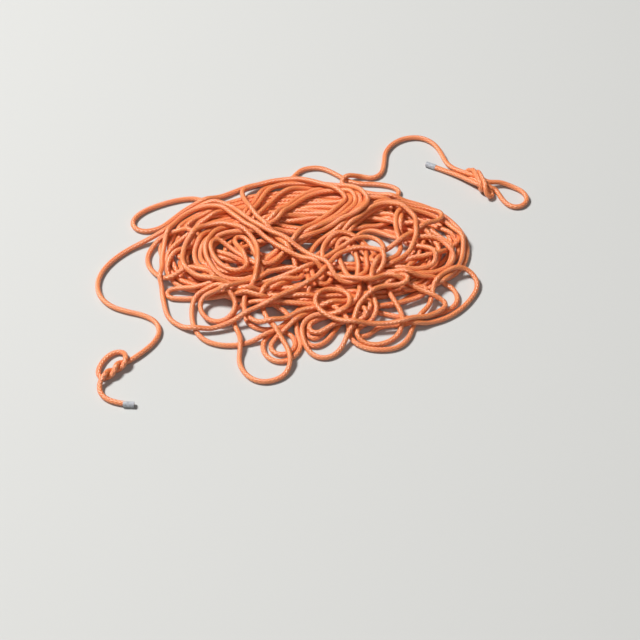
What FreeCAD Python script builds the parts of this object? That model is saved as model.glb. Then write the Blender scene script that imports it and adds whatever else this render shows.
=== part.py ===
import FreeCAD, Part

import math
import os

# A dynamic climbing rope lying in a loose pile on a flat floor, with a knot near each end.
# It is a kernmantle rope: a woven sheath over a core bundle. Each stretch of it, as it
# lies, is one sheath piece and one core piece that meet the next stretch face to face.
# Sizes are millimetres. +Z is up and z = 0 is the floor. The origin is on the floor under
# the middle of the whole rope, and the pile is seen from the -Y side.

os.makedirs("parts", exist_ok=True)

# What the rope is made of
ROPE_DIAMETER = 9.8
SHEATH_WALL = 1.1
CORE_CLEARANCE = 0.1
STRANDS_ROUND_MIDDLE = 6
STRAND_CLEARANCE = 0.06
STRAND_LENGTH = 17.0

# The finished ends: a melted face, a blank film label and a shrunk sleeve over both
WELD_THICKNESS = 1.2
LABEL_MARGIN = 3.0
LABEL_THICKNESS = 0.15
SLEEVE_LENGTH = 20.0
SLEEVE_WALL = 0.5
SLEEVE_CLEARANCE = 0.05
SLEEVE_LIP_BORE = 6.4
SLEEVE_LIP_THICKNESS = 0.5

# How the rope lies
FLAT_DEPTH = 0.5
FLOOR_CLEARANCE = 0.2
LAYER_GAP = 0.6
ROUND_SHARE = 0.45
STRAIGHT_SPARE = 0.4

ROPE_RADIUS = ROPE_DIAMETER / 2
BORE_RADIUS = ROPE_RADIUS - SHEATH_WALL
CORE_RADIUS = BORE_RADIUS - CORE_CLEARANCE
LABEL_BORE_RADIUS = ROPE_RADIUS + SLEEVE_CLEARANCE
LABEL_RADIUS = LABEL_BORE_RADIUS + LABEL_THICKNESS
SLEEVE_BORE_RADIUS = LABEL_RADIUS + SLEEVE_CLEARANCE
SLEEVE_RADIUS = SLEEVE_BORE_RADIUS + SLEEVE_WALL
LAYER_STEP = ROPE_DIAMETER + LAYER_GAP
STRAIGHT_END = max(SLEEVE_LENGTH, WELD_THICKNESS + STRAND_LENGTH) + STRAIGHT_SPARE
FLOOR = ROPE_RADIUS + FLOOR_CLEARANCE
SLEEVE_FLOOR = SLEEVE_RADIUS
UP = FreeCAD.Vector(0, 0, 1)

# The pile. Four layers of loose oval turns: the first spirals in on the floor, the next
# out on top of it, then in, then out. Each layer has its own oval, since nothing ties them:
# half length and half width of the outermost turn, its centre, the innermost turn's
# centre, and how far the oval is turned, in degrees.
TURNS_PER_LAYER = 6
TURNS = 23.194
QUARTERS = math.ceil(TURNS * 4)
CLIMB_TURNS = 0.5
SETTLE_TURNS = 0.25
START_ANGLE = 80.0
INNER_HALF_LENGTH = 44.0
INNER_HALF_WIDTH = 32.0
SWAY = 0.06
SWAY_TURNS = 3.2
LAYERS = [
    {"half": (312, 222), "outer": (2, 0), "inner": (24, 6), "turned": 2},
    {"half": (300, 206), "outer": (10, -2), "inner": (18, 0), "turned": -20},
    {"half": (288, 204), "outer": (-10, 2), "inner": (-30, 6), "turned": -14},
    {"half": (250, 165), "outer": (-34, -14), "inner": (-38, 0), "turned": -25},
]

# Free stretches, as points chosen by hand. Each list runs away from the pile.
LEFT_LEAD = [
    (-236, 113, 36), (-262, 101, 36.5), (-291, 85, 38), (-316, 70, 26), (-341, 54, 9.5),
    (-367, 36, FLOOR), (-394, 11, FLOOR), (-414, -18, FLOOR), (-423, -51, FLOOR),
    (-416, -85, FLOOR), (-394, -110, FLOOR), (-363, -123, FLOOR), (-331, -131, FLOOR),
    (-304, -147, FLOOR), (-294, -172, FLOOR), (-303, -198, FLOOR), (-325, -214, 5.5),
    (-344, -229, 9),
]
LEFT_KNOT_LOOP = [
    (-397.5, -287.5, 8.5), (-408, -286, 5.3), (-409, -272, FLOOR), (-403, -254, FLOOR),
    (-395, -236, FLOOR), (-384, -221, FLOOR), (-369, -214, 5.5), (-357.5, -222, 8.5),
]
LEFT_TAIL = [(-399, -317, 5.4), (-370, -345, SLEEVE_FLOOR)]
LEFT_TIP_TOWARDS = (1, -0.04, 0)
RIGHT_LEAD = [
    (113, 220, FLOOR), (133, 241, FLOOR), (138, 274, FLOOR), (140, 304, FLOOR),
    (157, 331, FLOOR), (186, 347, FLOOR), (218, 347, FLOOR), (242, 329, FLOOR),
    (256, 301, FLOOR), (267, 273, 5.5), (283, 252, 13),
]
RIGHT_LOOP = [
    (371, 213, 15), (397, 206, FLOOR), (418, 190, FLOOR), (424, 167, FLOOR),
    (408, 149, FLOOR), (385, 150, FLOOR), (368, 171, FLOOR), (358, 193, 8),
]
RIGHT_TAIL = [(288, 235, 20), (257, 252.5, SLEEVE_FLOOR)]
RIGHT_TIP_TOWARDS = (-0.89, 0.46, 0)

# The left knot, an overhand: two passes of the rope wrap three half turns about one axis
LEFT_KNOT_FROM = (-357, -241, 11.4)
LEFT_KNOT_TO = (-385, -280, 11.4)
LEFT_KNOT_RADIUS = 7.6
LEFT_KNOT_STEPS = 6

# The right knot: round wraps about three passes of the rope that lie side by side
RIGHT_KNOT_CENTRE = (328, 226, 21.6)
RIGHT_KNOT_TOWARDS = (0.9, -0.436, 0)
RIGHT_KNOT_PASS_RADIUS = 6.15
RIGHT_KNOT_HALF_LENGTH = 24.0
RIGHT_KNOT_WRAP_RADIUS = 18.8
RIGHT_KNOT_WRAP_START = (-18.0, 375.0)
RIGHT_KNOT_WRAP_STEP = (1.8, 60.0)
RIGHT_KNOT_WRAP_POINTS = 13
# Along the knot's axis, degrees about it, distance from it
RIGHT_KNOT_TURN_OUT = [(-25, 257, 7.5), (-33, 274, 11.5), (-33, 305, 19), (-24, 327, 20.5)]
RIGHT_KNOT_TURN_IN = [(14, 51, 19.5), (14, 108, 19), (20, 116, 23), (34, 130, 18),
                      (30, 156, 6)]
STANDING_PASS_AT = 30
RETURN_PASS_AT = 270
TAIL_PASS_AT = 150


def vector(point):
    return FreeCAD.Vector(*point)


def ease(share):
    """0 to 1 with no kink at either end."""
    share = min(max(share, 0.0), 1.0)
    return share * share * (3 - 2 * share)


def mix(low, high, share):
    return low + (high - low) * share


def pile_point(turn):
    """Centre of the piled rope after a number of turns from its start on the floor."""
    half_climb = CLIMB_TURNS / 2
    climbs = [TURNS_PER_LAYER * k for k in range(1, len(LAYERS))]
    level = sum(ease((turn - climb + half_climb) / CLIMB_TURNS) for climb in climbs)
    below = min(int(level), len(LAYERS) - 1)
    above = min(below + 1, len(LAYERS) - 1)
    share = level - below

    def blend(key, item=None):
        low, high = LAYERS[below][key], LAYERS[above][key]
        if item is None:
            return mix(low, high, share)
        return mix(low[item], high[item], share)

    # Turns in from the outer edge: a steady zigzag whose corners are rounded
    phase = turn % (2 * TURNS_PER_LAYER)
    inward = min(phase, 2 * TURNS_PER_LAYER - phase)
    from_reversal = min(inward, TURNS_PER_LAYER - inward)
    if from_reversal < half_climb and turn > half_climb:
        lift = (half_climb - from_reversal) ** 2 / (2 * half_climb)
        inward += lift if inward < half_climb else -lift
    spread = 1 - inward / TURNS_PER_LAYER

    sway = 1 + SWAY * math.sin(SWAY_TURNS + 2 * turn) * math.sin(math.pi * turn / TURNS)
    angle = math.radians(START_ANGLE) + 2 * math.pi * turn
    along = mix(INNER_HALF_LENGTH, blend("half", 0), spread) * sway * math.cos(angle)
    across = mix(INNER_HALF_WIDTH, blend("half", 1), spread) * sway * math.sin(angle)
    turned = math.radians(blend("turned"))
    centre_x = mix(blend("inner", 0), blend("outer", 0), spread)
    centre_y = mix(blend("inner", 1), blend("outer", 1), spread)
    settle = (FLAT_DEPTH + FLOOR_CLEARANCE) * ease(turn / SETTLE_TURNS)
    return FreeCAD.Vector(
        centre_x + along * math.cos(turned) - across * math.sin(turned),
        centre_y + along * math.sin(turned) + across * math.cos(turned),
        FLOOR + LAYER_STEP * level - settle,
    )


def pile_direction(turn):
    small = 1e-4
    return (pile_point(turn + small) - pile_point(max(turn - small, 0))).normalize()


def arc_or_line(start, direction, end):
    """Edge that leaves start along direction and ends at end."""
    chord = end - start
    length = chord.Length
    chord.normalize()
    side = direction - chord * direction.dot(chord)
    if side.Length < 1e-6:
        return Part.LineSegment(start, end).toShape()
    half_turn = math.atan2(side.Length, direction.dot(chord))
    side.normalize()
    middle = (start + end) * 0.5 + side * (length / 2 * math.tan(half_turn / 2))
    return Part.Arc(start, middle, end).toShape()


def biarc(start, start_direction, end, end_direction):
    """Two arcs that meet smoothly between two points with given directions."""
    gap = end - start
    both = start_direction + end_direction
    bend = 2 * (1 - start_direction.dot(end_direction))
    if bend < 1e-9:
        reach = gap.dot(gap) / (4 * gap.dot(start_direction))
    else:
        root = math.sqrt(gap.dot(both) ** 2 + bend * gap.dot(gap))
        reach = (root - gap.dot(both)) / bend
    joint = (start + end + (start_direction - end_direction) * reach) * 0.5
    joint_direction = (end - end_direction * reach - joint).normalize()
    return [arc_or_line(start, start_direction, joint), arc_or_line(joint, joint_direction, end)]


def pile_wire():
    """The pile's centreline: a biarc for each quarter turn, and straight ends."""
    turns = [TURNS * k / QUARTERS for k in range(QUARTERS + 1)]
    points = [pile_point(turn) for turn in turns]
    directions = [pile_direction(turn) for turn in turns]
    first = points[0] - directions[0] * ROPE_DIAMETER
    last = points[-1] + directions[-1] * ROPE_DIAMETER
    edges = [Part.LineSegment(first, points[0]).toShape()]
    for k in range(QUARTERS):
        edges += biarc(points[k], directions[k], points[k + 1], directions[k + 1])
    edges.append(Part.LineSegment(points[-1], last).toShape())
    return Part.Wire(edges), first, directions[0], last, directions[-1]


def rounded_wires(points, cuts):
    """Straight runs joined by tangent arcs, cut into wires at the middles of the runs
    named in cuts, so that each wire meets the next face to face. Also the arcs' radii."""
    edges, radii, wires = [], [], []
    at = points[0]
    for k in range(1, len(points) - 1):
        back, on = points[k - 1] - points[k], points[k + 1] - points[k]
        reach = ROUND_SHARE * min(back.Length, on.Length)
        back.normalize()
        on.normalize()
        half_turn = (math.pi - math.acos(max(-1.0, min(1.0, back.dot(on))))) / 2
        radius = reach / math.tan(half_turn)
        inward = (back + on).normalize()
        middle = points[k] + inward * (radius / math.cos(half_turn) - radius)
        arc_start, arc_end = points[k] + back * reach, points[k] + on * reach
        if k - 1 in cuts:
            half_way = (points[k - 1] + points[k]) * 0.5
            edges.append(Part.LineSegment(at, half_way).toShape())
            wires.append(Part.Wire(edges))
            edges, at = [], half_way
        edges.append(Part.LineSegment(at, arc_start).toShape())
        edges.append(Part.Arc(arc_start, middle, arc_end).toShape())
        radii.append(radius)
        at = arc_end
    edges.append(Part.LineSegment(at, points[-1]).toShape())
    wires.append(Part.Wire(edges))
    return wires, radii


def rod(wire, radius):
    """Closed round solid along a wire."""
    edge = wire.Edges[0]
    start, direction = edge.valueAt(edge.FirstParameter), edge.tangentAt(edge.FirstParameter)
    ring = Part.Wire(Part.Circle(start, direction, radius).toShape())
    return wire.makePipeShell([ring], True, False)


def hollow(wire, radius, bore_radius):
    return rod(wire, radius).cut(rod(wire, bore_radius))


def save(name, shape, solids=1):
    assert shape.isValid(), name
    assert len(shape.Solids) == solids, (name, len(shape.Solids))
    shape.exportStep("parts/" + name + ".step")


def save_stretch(name, sheath_wires, core_wires=None):
    """Sheath and core of one stretch, whose volumes are compared with section x length."""
    core_wires = core_wires or sheath_wires
    sheaths = [hollow(wire, ROPE_RADIUS, BORE_RADIUS) for wire in sheath_wires]
    cores = [rod(wire, CORE_RADIUS) for wire in core_wires]
    lengths = [wire.Length for wire in sheath_wires]
    section = math.pi * (ROPE_RADIUS ** 2 - BORE_RADIUS ** 2)
    ratio = sum(s.Volume for s in sheaths) / (section * sum(lengths))
    print(name, "length", round(sum(lengths)), "sheath volume / section x length", round(ratio, 4))
    save(name + "_sheath", Part.makeCompound(sheaths), len(sheaths))
    save(name + "_core", Part.makeCompound(cores), len(cores))
    return sum(lengths)


def sampled(wire, step=2.5):
    return wire.discretize(Distance=step)


def segment_distance(a, b, c, d):
    u, v, w = b - a, d - c, a - c
    uu, uv, vv, uw, vw = u.dot(u), u.dot(v), v.dot(v), u.dot(w), v.dot(w)
    spread = max(uu * vv - uv * uv, 1e-9)
    s = min(max((uv * vw - vv * uw) / spread, 0.0), 1.0)
    t = min(max((uv * s + vw) / vv, 0.0), 1.0)
    s = min(max((uv * t - uw) / uu, 0.0), 1.0)
    return (w + u * s - v * t).Length


def least_gap(points, apart):
    """Least clear distance between stretches of one centreline that are more than apart
    millimetres from each other along it, and where that is."""
    line, along = [points[0]], [0.0]
    for point in points[1:]:
        step = (point - line[-1]).Length
        if step > 0.01:
            line.append(point)
            along.append(along[-1] + step)
    cell = ROPE_DIAMETER * 1.5
    grid = {}
    for k, p in enumerate(line[:-1]):
        grid.setdefault(tuple(int(math.floor(c / cell)) for c in p), []).append(k)
    near = [(x, y, z) for x in (-1, 0, 1) for y in (-1, 0, 1) for z in (-1, 0, 1)]
    least, place = cell, None
    for key, members in grid.items():
        for shift in near:
            others = grid.get(tuple(key[c] + shift[c] for c in range(3)), [])
            for i in members:
                for j in others:
                    if along[j] - along[i] <= apart:
                        continue
                    found = segment_distance(line[i], line[i + 1], line[j], line[j + 1])
                    if found < least:
                        least, place = found, line[i]
    return round(least - ROPE_DIAMETER, 3), tuple(round(c) for c in place or ())


def around(centre, direction, side, along, degrees, radius):
    """Point at an angle about an axis, 0 towards side and 90 upwards."""
    angle = math.radians(degrees)
    return centre + direction * along + (side * math.cos(angle) + UP * math.sin(angle)) * radius


def tail_points(points, towards):
    """The tail's points and its tip, far enough out that the rope in the sleeve is straight."""
    points = [vector(p) for p in points]
    last_run = STRAIGHT_END / (1 - ROUND_SHARE)
    return points + [points[-1] + vector(towards).normalize() * last_run]


def left_route(pile_end, pile_end_direction):
    """Left free end: lead, overhand knot and tail, with the runs where it is divided."""
    start, end = vector(LEFT_KNOT_FROM), vector(LEFT_KNOT_TO)
    axis = (end - start).normalize()
    side = UP.cross(axis) * -1
    step = (end - start).Length / LEFT_KNOT_STEPS
    passes = []
    for degrees in (180, 0):
        passes.append([around(start, axis, side, step * k, degrees + 90 * k, LEFT_KNOT_RADIUS)
                       for k in range(LEFT_KNOT_STEPS + 1)])
    first_run = (vector(LEFT_LEAD[1]) - vector(LEFT_LEAD[0])).Length
    lead = [pile_end, pile_end + pile_end_direction * (first_run * 0.8)]
    lead += [vector(p) for p in LEFT_LEAD]
    loop = [vector(p) for p in LEFT_KNOT_LOOP]
    tail = tail_points(LEFT_TAIL, LEFT_TIP_TOWARDS)
    knot = passes[0] + loop + passes[1]
    return lead + knot + tail, [len(lead) - 1, len(lead) + len(knot) - 1]


def right_route(pile_start, pile_start_direction):
    """Right free end: lead, knot, its bight loop and tail."""
    centre = vector(RIGHT_KNOT_CENTRE)
    axis = vector(RIGHT_KNOT_TOWARDS).normalize()
    side = UP.cross(axis)

    def at(along, degrees, radius):
        return around(centre, axis, side, along, degrees, radius)

    first_run = (vector(RIGHT_LEAD[1]) - vector(RIGHT_LEAD[0])).Length
    lead = [pile_start, pile_start - pile_start_direction * (first_run * 0.9)]
    lead += [vector(p) for p in RIGHT_LEAD]
    reach, inside = RIGHT_KNOT_HALF_LENGTH, RIGHT_KNOT_PASS_RADIUS
    standing = [at(-reach, STANDING_PASS_AT, inside), at(reach, STANDING_PASS_AT, inside)]
    loop = [vector(p) for p in RIGHT_LOOP]
    back = [at(reach, RETURN_PASS_AT, inside), at(-14, RETURN_PASS_AT, inside)]
    back += [at(*p) for p in RIGHT_KNOT_TURN_OUT]
    wraps = [at(RIGHT_KNOT_WRAP_START[0] + RIGHT_KNOT_WRAP_STEP[0] * k,
                RIGHT_KNOT_WRAP_START[1] + RIGHT_KNOT_WRAP_STEP[1] * k,
                RIGHT_KNOT_WRAP_RADIUS) for k in range(RIGHT_KNOT_WRAP_POINTS)]
    out = [at(*p) for p in RIGHT_KNOT_TURN_IN]
    out += [at(14, TAIL_PASS_AT, inside), at(-reach, TAIL_PASS_AT, inside)]
    tail = tail_points(RIGHT_TAIL, RIGHT_TIP_TOWARDS)
    knot = back + wraps + out
    cuts = [len(lead) - 1, len(lead) + 1, len(lead) + 1 + len(loop)]
    cuts.append(cuts[-1] + len(knot))
    return lead + standing + loop + knot + tail, cuts


def save_end(side, tip, outward):
    """Strands, melted face, label and sleeve at one tip of the rope."""

    def ring(start, length, radius, bore_radius=0.0):
        base = tip - outward * start
        shape = Part.makeCylinder(radius, length, base, outward * -1)
        if bore_radius:
            shape = shape.cut(Part.makeCylinder(bore_radius, length, base, outward * -1))
        return shape

    weld = ring(0, WELD_THICKNESS, ROPE_RADIUS)
    rim = [e for e in weld.Edges if e.Length > ROPE_RADIUS and (e.CenterOfMass - tip).Length < 1e-3]
    weld = weld.makeFillet(WELD_THICKNESS / 2, rim)
    label_length = SLEEVE_LENGTH - 2 * LABEL_MARGIN
    label = ring(LABEL_MARGIN, label_length, LABEL_RADIUS, LABEL_BORE_RADIUS)
    lip_start = -SLEEVE_CLEARANCE - SLEEVE_LIP_THICKNESS
    sleeve = ring(-SLEEVE_CLEARANCE, SLEEVE_LENGTH, SLEEVE_RADIUS, SLEEVE_BORE_RADIUS)
    lip = ring(lip_start, SLEEVE_LIP_THICKNESS, SLEEVE_RADIUS, SLEEVE_LIP_BORE / 2)
    sleeve = sleeve.fuse(lip).removeSplitter()
    strand_radius = (CORE_RADIUS - STRAND_CLEARANCE * 2) / 3
    ring_radius = 2 * strand_radius + STRAND_CLEARANCE
    base = tip - outward * WELD_THICKNESS
    side_way = UP.cross(outward).normalize()
    strands = [Part.makeCylinder(strand_radius, STRAND_LENGTH, base, outward * -1)]
    for k in range(STRANDS_ROUND_MIDDLE):
        angle = 2 * math.pi * k / STRANDS_ROUND_MIDDLE
        shift = (side_way * math.cos(angle) + UP * math.sin(angle)) * ring_radius
        strands.append(
            Part.makeCylinder(strand_radius, STRAND_LENGTH, base + shift, outward * -1))
    save(side + "_end_weld", weld)
    save(side + "_end_label", label)
    save(side + "_end_sleeve", sleeve)
    save(side + "_end_strands", Part.makeCompound(strands), len(strands))


def shortened(wire, cut):
    """The wire without that much of its last straight run."""
    last = wire.Edges[-1]
    start, end = last.valueAt(last.FirstParameter), last.valueAt(last.LastParameter)
    stop = end - (end - start).normalize() * cut
    return Part.Wire(wire.Edges[:-1] + [Part.LineSegment(start, stop).toShape()])


def save_tail(side, wire):
    """Last stretch: the sheath stops at the melted face, the core at the loose strands."""
    save_stretch(side + "_tail", [shortened(wire, WELD_THICKNESS)],
                 [shortened(wire, WELD_THICKNESS + STRAND_LENGTH)])
    last = wire.Edges[-1]
    start, tip = last.valueAt(last.FirstParameter), last.valueAt(last.LastParameter)
    save_end(side, tip, (tip - start).normalize())


def main():
    pile, start, start_direction, end, end_direction = pile_wire()
    radii = [e.Curve.Radius for e in pile.Edges if hasattr(e.Curve, "Radius")]
    print("pile turns", TURNS, "least radius", round(min(radii), 1))
    print("pile least gap to itself", least_gap(sampled(pile), 60))
    floor_slab = Part.makeBox(1200, 1200, 50, FreeCAD.Vector(-600, -600, -50))
    sheath = rod(pile, ROPE_RADIUS).cut(floor_slab).cut(rod(pile, BORE_RADIUS))
    save("pile_sheath", sheath)
    save("pile_core", rod(pile, CORE_RADIUS))

    points, cuts = left_route(end, end_direction)
    (lead, knot, tail), left_radii = rounded_wires(points, cuts)
    left = [lead, knot, tail]
    print("left free end radii", [round(r, 1) for r in left_radii])
    length = pile.Length + save_stretch("left_lead", [lead])
    length += save_stretch("left_knot", [knot])
    length += tail.Length
    save_tail("left", tail)

    points, cuts = right_route(start, start_direction)
    right, right_radii = rounded_wires(points, cuts)
    lead, standing, loop, wraps, tail = right
    print("right free end radii", [round(r, 1) for r in right_radii])
    length += save_stretch("right_lead", [lead])
    length += save_stretch("right_knot", [standing, wraps])
    length += save_stretch("right_bight_loop", [loop])
    length += tail.Length
    save_tail("right", tail)

    line = []
    for wire in reversed(right):
        line += list(reversed(sampled(wire)))
    line += sampled(pile)
    for wire in left:
        line += sampled(wire)
    print("whole rope least gap to itself", least_gap(line, 30))
    print("modelled length of rope, m", round(length / 1000, 2))


main()
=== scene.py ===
import math

import bpy
import numpy as np
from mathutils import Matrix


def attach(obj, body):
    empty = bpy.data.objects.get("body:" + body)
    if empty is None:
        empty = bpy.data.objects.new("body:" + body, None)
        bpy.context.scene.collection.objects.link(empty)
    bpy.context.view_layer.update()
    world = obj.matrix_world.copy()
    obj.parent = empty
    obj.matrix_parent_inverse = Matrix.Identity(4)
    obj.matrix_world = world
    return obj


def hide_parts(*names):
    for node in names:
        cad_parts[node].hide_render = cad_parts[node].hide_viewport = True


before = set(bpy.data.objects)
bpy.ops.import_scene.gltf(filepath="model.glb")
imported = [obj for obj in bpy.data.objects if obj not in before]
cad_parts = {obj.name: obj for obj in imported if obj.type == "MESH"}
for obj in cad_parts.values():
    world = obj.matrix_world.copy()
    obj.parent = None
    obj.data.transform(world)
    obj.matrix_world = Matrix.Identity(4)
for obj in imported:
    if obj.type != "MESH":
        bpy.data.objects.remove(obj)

# A dynamic climbing rope in a loose pile, with a knot near each end. Its 40 m lie as one
# line: the free ends are given points, and the pile is laid turn by turn and then
# settles under its own weight. Lengths are metres, and the pile is worked out in millimetres

MM = 0.001
ROPE_DIAMETER = 0.0098
ROPE_RADIUS = ROPE_DIAMETER / 2
SLEEVE_RADIUS = 0.00565
FLOOR = 0.0051
CAMERA_TILT = math.radians(50)
CAMERA_LOOKS_AT = (0.007, -0.140, 0.0)
CAMERA_DISTANCE = 3.6
CAMERA_LENS = 106.6
UP = np.array([0.0, 0.0, 1.0])

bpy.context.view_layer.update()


def make_camera():
    """A long lens that looks down at the rope from the photo's side."""
    data = bpy.data.cameras.new("photo_view")
    data.lens = CAMERA_LENS
    camera = bpy.data.objects.new("photo_view", data)
    bpy.context.scene.collection.objects.link(camera)
    x, y, z = CAMERA_LOOKS_AT
    camera.location = (x, y - CAMERA_DISTANCE * math.cos(CAMERA_TILT),
                       z + CAMERA_DISTANCE * math.sin(CAMERA_TILT))
    camera.rotation_euler = (math.pi / 2 - CAMERA_TILT, 0, 0)
    bpy.context.scene.camera = camera


# Free ends, each list running away from the pile. FLOOR is the height of the rope's centre
# where it lies on the floor
LEFT_LEAD = [
    (-.316, .064, .0145), (-.341, .052, .0075),
    (-.367, .036, FLOOR), (-.394, .011, FLOOR), (-.414, -.018, FLOOR), (-.423, -.051, FLOOR),
    (-.416, -.085, FLOOR), (-.394, -.110, FLOOR), (-.363, -.123, FLOOR), (-.331, -.131, FLOOR),
    (-.304, -.147, FLOOR), (-.294, -.172, FLOOR), (-.303, -.198, FLOOR), (-.322, -.221, .0055),
    (-.337, -.235, .006),
]
LEFT_KNOT_LOOP = [
    (-.3995, -.284, FLOOR), (-.405, -.270, FLOOR), (-.401, -.253, FLOOR),
    (-.3925, -.237, FLOOR), (-.382, -.2265, FLOOR), (-.369, -.2215, FLOOR),
    (-.357, -.2275, .008),
]
LEFT_TAIL = [(-.4005, -.300, .008), (-.395, -.3265, FLOOR), (-.366, -.3435, SLEEVE_RADIUS),
             (-.33294, -.34648, SLEEVE_RADIUS)]
RIGHT_LEAD = [
    (.114, .229, FLOOR), (.133, .243, FLOOR), (.138, .274, FLOOR), (.140, .304, FLOOR),
    (.157, .331, FLOOR), (.186, .347, FLOOR), (.218, .347, FLOOR), (.243, .328, FLOOR),
    (.256, .300, FLOOR), (.264, .272, .006), (.279, .250, .011),
]
RIGHT_LOOP = [
    (.371, .215, .010), (.396, .206, FLOOR), (.416, .192, FLOOR), (.424, .170, FLOOR),
    (.410, .151, FLOOR), (.388, .150, FLOOR), (.371, .171, FLOOR), (.361, .196, .008),
]
RIGHT_TAIL = [(.286, .235, .009), (.257, .2525, SLEEVE_RADIUS),
              (.22405, .26953, SLEEVE_RADIUS)]
PILE_START = (.093, .2345, FLOOR)
PILE_END = (-.296, .0745, .0215)

LEFT_KNOT_FROM = np.array((-.353, -.248, .0114))
LEFT_KNOT_TO = np.array((-.389, -.285, .0114))
LEFT_KNOT_RADIUS = .0068
LEFT_KNOT_STEPS = 4
RIGHT_KNOT_CENTRE = np.array((.3295, .2105, .0152))
RIGHT_KNOT_ALONG = np.array((.87, -.49, 0.0))
RIGHT_KNOT_ACROSS = np.array((-.28, 1.08, 0.0))

# The right knot's wraps: how far along the knot the first point lies and how far on each
# next one is, in millimetres, and one turn's places across the knot and up
WRAP_START = -10.0
WRAP_STEP = 1.4
WRAP_POINTS = 12
WRAP_TURN = [(25, 0), (18, 10), (0, 10.4), (-15, 10), (-22, 0), (-15, -10), (0, -10.2),
             (18, -10)]

# The pile's turns that the photo shows, followed along the rope. Each place is so
# many pixels across and down the photo, which is 640 pixels square, and PIXEL is what one
# of them covers at its middle, in millimetres
PHOTO_MIDDLE = 320
PIXEL = 1.9
OUTLYING_LOOPS = [
    (353, 178.2), (346.5, 177.2), (341, 178.2), (338.4, 181.5), (339.8, 185.2), (344.5, 187.8),
    (351, 189.6), (358.6, 191.2), (372.4, 193.9), (386, 196), (400, 200), (419.7, 204.8),
    (435.8, 211.5), (449, 220), (460.8, 231.9), (466.5, 243), (467.8, 254), (463.5, 267),
    (454.5, 275.5), (443, 281.5), (430, 285), (415, 284.5), (401, 280.5), (386, 279.5), (368, 283),
    (348, 287), (326, 289), (303, 291), (280, 294), (257, 293), (234, 289), (213, 279), (203, 262),
    (204, 243), (210, 226), (213, 213), (208, 203.5), (198, 199), (184, 199.5), (166, 203.3),
    (148, 209.5), (136.5, 216), (132, 223.5), (136, 229.8), (145.4, 232.3), (159.6, 229.5),
    (169, 223.5), (180, 215), (195, 206.5), (210, 200.8), (225, 196.3), (237.7, 191), (250, 186.8),
    (264, 185.2), (277, 186), (287, 185), (293, 180.5), (296.3, 175.3), (301.5, 171.2),
    (308, 169.2), (315.5, 168.3), (323, 169.2), (331, 172.3), (338, 176), (345, 180), (353, 183.2),
    (362, 184.2), (373, 184.5), (386.6, 185.7), (396, 188.5), (400.3, 192.7), (396.5, 197.3),
    (386, 201.5), (370, 206), (354, 213), (339, 222), (327, 234), (316, 247),
]
RIGHT_TURN_1 = [
    (356, 216), (363, 210.5), (370.2, 206), (377.7, 202.3), (385.3, 200.8), (392, 203.5),
    (397.5, 208.5), (400.5, 215), (399.5, 224), (398.6, 233), (402, 241), (411.8, 247),
    (425.7, 250.7), (434, 256), (434.5, 263), (428, 268), (417, 270.5), (399.2, 270.5),
    (386, 267.5), (376, 261), (367.6, 246.5), (355, 234.5), (345, 230),
]
RIGHT_TURN_2 = [
    (338, 233), (340, 240), (349, 242), (357, 236.5), (364, 230), (373, 229.5), (384, 233.6),
    (395, 238.5), (405, 240.5), (415.3, 239.3), (428, 239), (441, 241.8), (450.5, 248),
    (453.4, 256.8), (449.7, 265.9), (439, 271.3), (425, 274), (408, 275.5), (391, 279), (377, 284),
    (364, 284), (358, 278), (364, 272.5), (377, 271.5), (391, 273.3), (405, 275.9), (419.5, 276.5),
    (432.8, 277.7), (442.5, 281.4), (452.2, 287.4), (457.6, 295.9), (455.8, 304.4), (448.5, 310.4),
    (437.6, 315), (424, 318), (410, 319), (396, 317), (380, 313.5), (362, 311.5), (342, 311.5),
]
NARROW_FRONT_LOOP = [
    (322, 313), (305, 318), (290, 324.5), (276, 329.5), (263.5, 330), (252.5, 326.5), (246, 319.5),
    (247.5, 311), (256, 304.5), (270, 301), (288, 299.5), (308, 299),
]
RIGHT_TURN_3 = [
    (330, 298), (352, 300), (374, 306), (392, 306.5), (404, 300.5), (413.4, 294.5), (424, 289),
    (436, 283), (447, 277), (456, 269), (461.5, 258), (461.5, 246), (457.5, 236), (450, 226.5),
    (440.5, 219.5), (428, 213.5), (414, 210), (404, 210), (398, 214.5), (396.5, 223), (397.8, 233),
    (401.5, 243), (400, 253), (392, 260.5), (380, 265.5), (369.5, 265.3), (366.5, 260),
    (373.5, 255.8), (383, 251.5), (394, 245), (406, 237), (418.5, 230), (430, 224), (438.5, 220.3),
    (442.8, 216.3), (439.5, 212), (430, 209.5), (418, 207.5), (405, 205.8),
]
SLANTING_TURN = [
    (392, 205.5), (381, 208.5), (371, 213), (361, 219.5), (352, 227), (346, 236), (347, 246),
    (355, 255), (367, 262.5), (378, 266.5), (388, 265.5), (399, 259.8), (408.5, 252.3),
    (413.8, 243.8), (414.3, 235), (414, 228), (414.5, 221), (411, 215), (403, 210), (394, 205.7),
    (384, 204), (374, 207.3), (364, 214), (352, 223), (340, 234), (330, 245),
]
DOUBLE_FRONT_LOOP = [
    (318, 254), (311, 262), (309, 275), (309, 290), (306, 302), (298.5, 309.5), (296.2, 316.5),
    (299, 324), (301.5, 333), (301.8, 342.5), (299.5, 350.5), (294.5, 357), (285, 361.8),
    (274, 361.3), (265.5, 355.5), (262.6, 347.4), (265, 340), (270.5, 334.5), (279, 332.3),
    (288.5, 333.5), (296, 338), (298, 344.7), (293.5, 350.8), (285, 354.3), (275.5, 353),
    (270.3, 347.5), (272.3, 340.8), (279, 333.5), (288, 325), (297, 318.5), (309, 313.5),
    (323, 309.5), (338, 305.5), (352, 301.3), (365.5, 303.3), (368.5, 310.5), (358, 316.2),
]
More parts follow.
